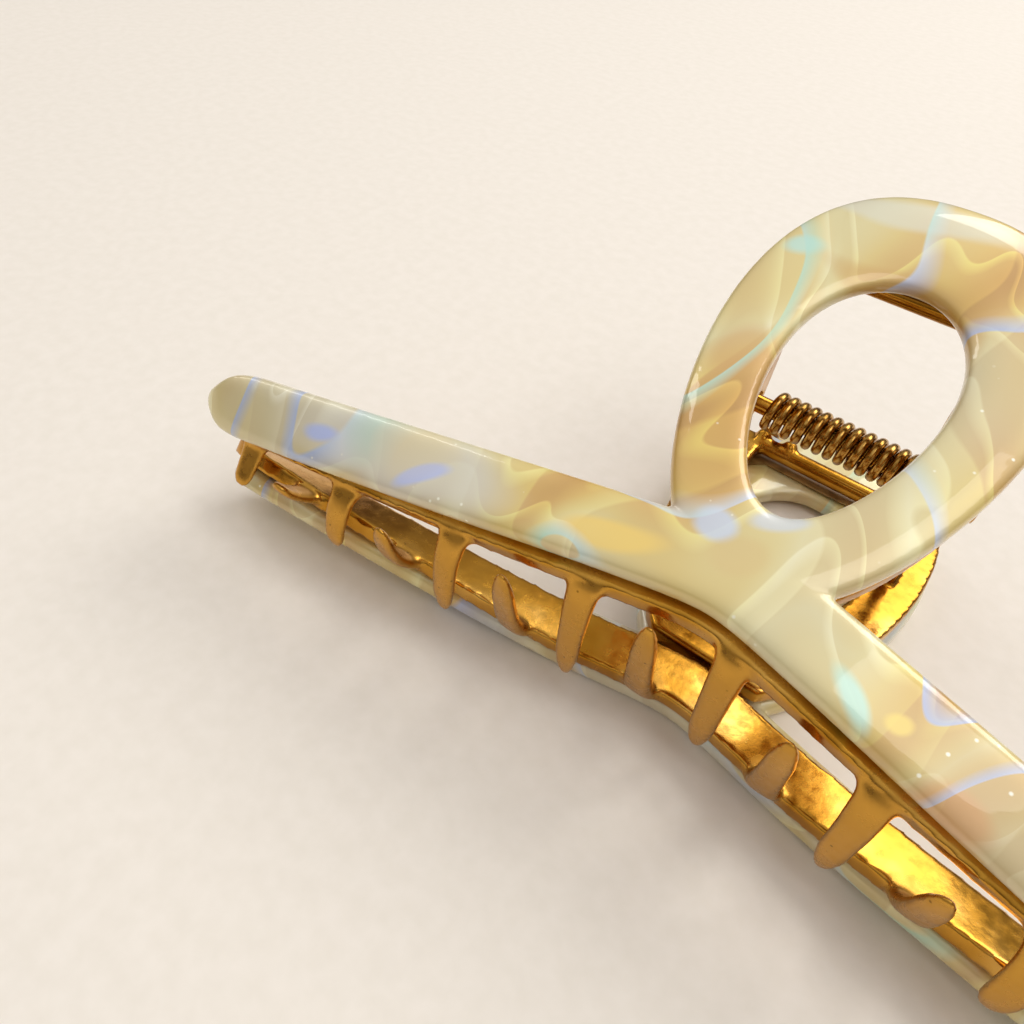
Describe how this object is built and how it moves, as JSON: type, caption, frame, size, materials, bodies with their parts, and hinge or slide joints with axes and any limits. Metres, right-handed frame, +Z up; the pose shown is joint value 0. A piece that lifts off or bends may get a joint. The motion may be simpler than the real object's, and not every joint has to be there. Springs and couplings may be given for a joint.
{
  "type": "hair claw clip",
  "caption": "Two-jaw hair claw clip with drooping toothed arms, open loop handles, a hinge pin and a torsion spring that keeps the jaws shut",
  "frame": {"origin": "Centre of the bounding box in X and Y, on the resting plane in Z, with the clip lying on its rear loop", "axes": "+X runs along the jaws, parallel to the hinge pin; +Y runs from the teeth towards the handles; +Z is up, out of the front cover"},
  "size_m": [0.11, 0.062, 0.0401],
  "materials": {
    "gold_plate": "gold-plated zinc die casting, polished strips and semi-matte teeth",
    "spring_wire": "bright drawn spring wire with a thin gold wash",
    "pearl_acetate": "polished pearlescent acetate, cream and champagne with blue-grey clouds",
    "adhesive": "cured clear-amber adhesive"
  },
  "bodies": {
    "rear_jaw": {"rear_frame": "gold_plate", "rear_glue_line": "adhesive", "rear_cover": "pearl_acetate", "hinge_pin": "gold_plate", "torsion_spring": "spring_wire"},
    "front_jaw": {"front_frame": "gold_plate", "front_glue_line": "adhesive", "front_cover": "pearl_acetate"}
  },
  "joints": [
    {"name": "jaw_hinge", "type": "hinge", "parent": "rear_jaw", "child": "front_jaw", "pos_m": [0, 0.01153, 0.01734], "axis": [-1, 0, 0], "range_deg": [0, 48], "stiffness_Nm_per_rad": 0.2, "springref_deg": -22.92, "deforming": ["torsion_spring"]}
  ]
}
